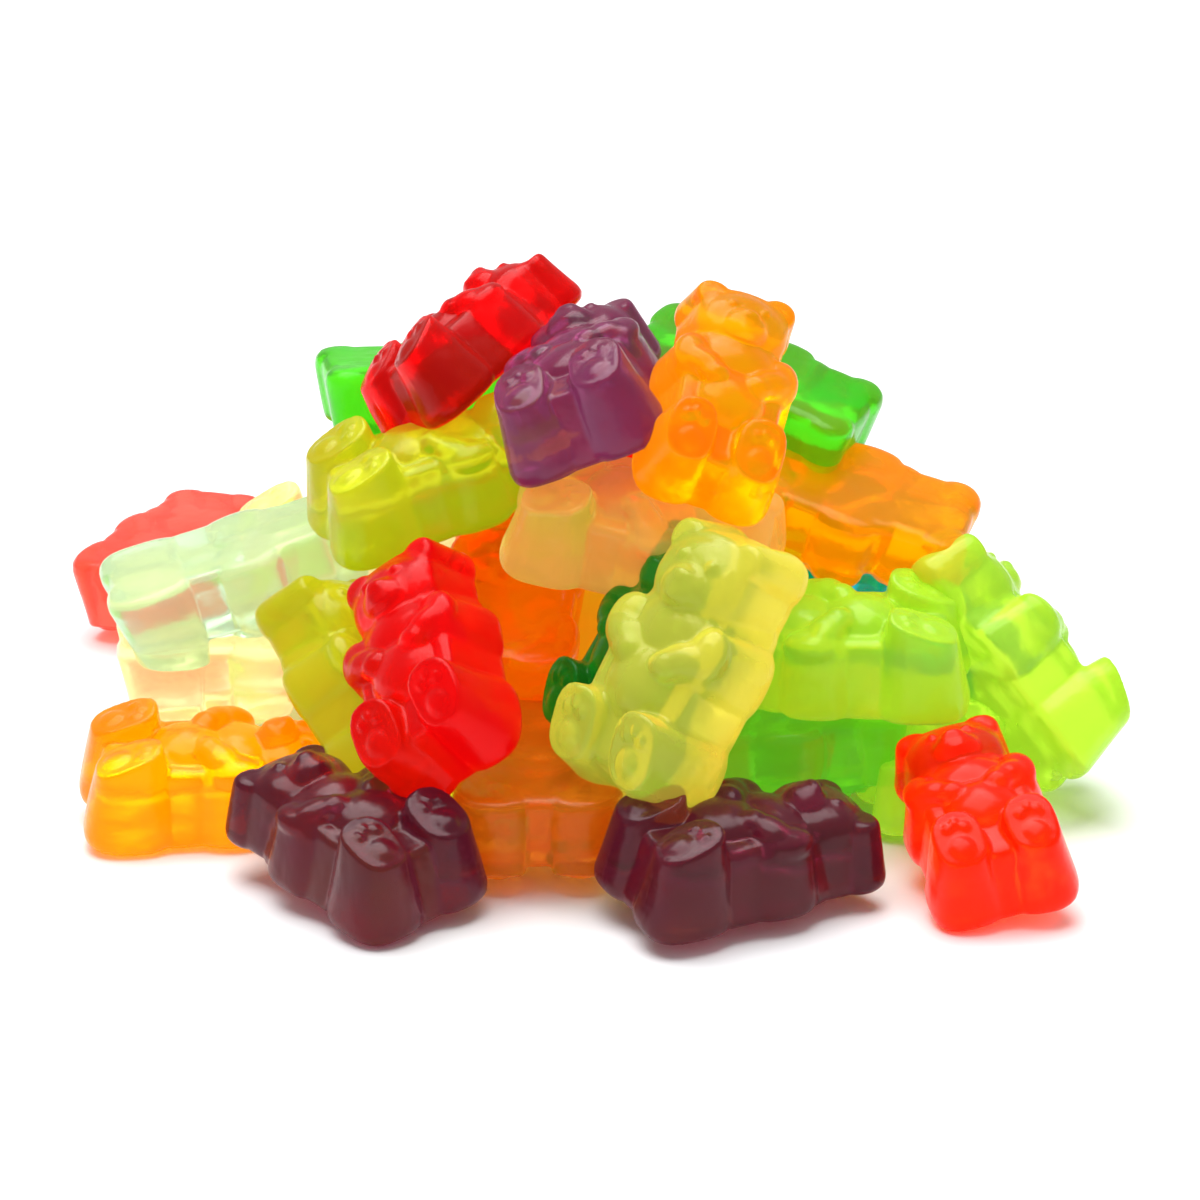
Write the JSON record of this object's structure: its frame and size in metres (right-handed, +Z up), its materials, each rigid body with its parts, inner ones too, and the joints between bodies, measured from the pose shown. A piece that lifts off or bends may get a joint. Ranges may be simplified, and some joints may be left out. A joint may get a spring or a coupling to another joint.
{
  "type": "heap of gummy bears",
  "caption": "Loose heap of fruit gummy bears in red, orange, yellow, green, blue and purple, lying as poured on a table.",
  "frame": {"origin": "middle of the heap's bounding box, on the table it lies on", "axes": "+Z up from the table; -Y towards the heap's front, +X to the right as seen from the front"},
  "size_m": [0.0855, 0.0818, 0.0412],
  "materials": {
    "gelatine": "soft satin, clear coloured gelatine, in the heap's middle colour"
  },
  "bodies": {
    "root": {"gummy_bear_heap": "gelatine"}
  },
  "joints": []
}
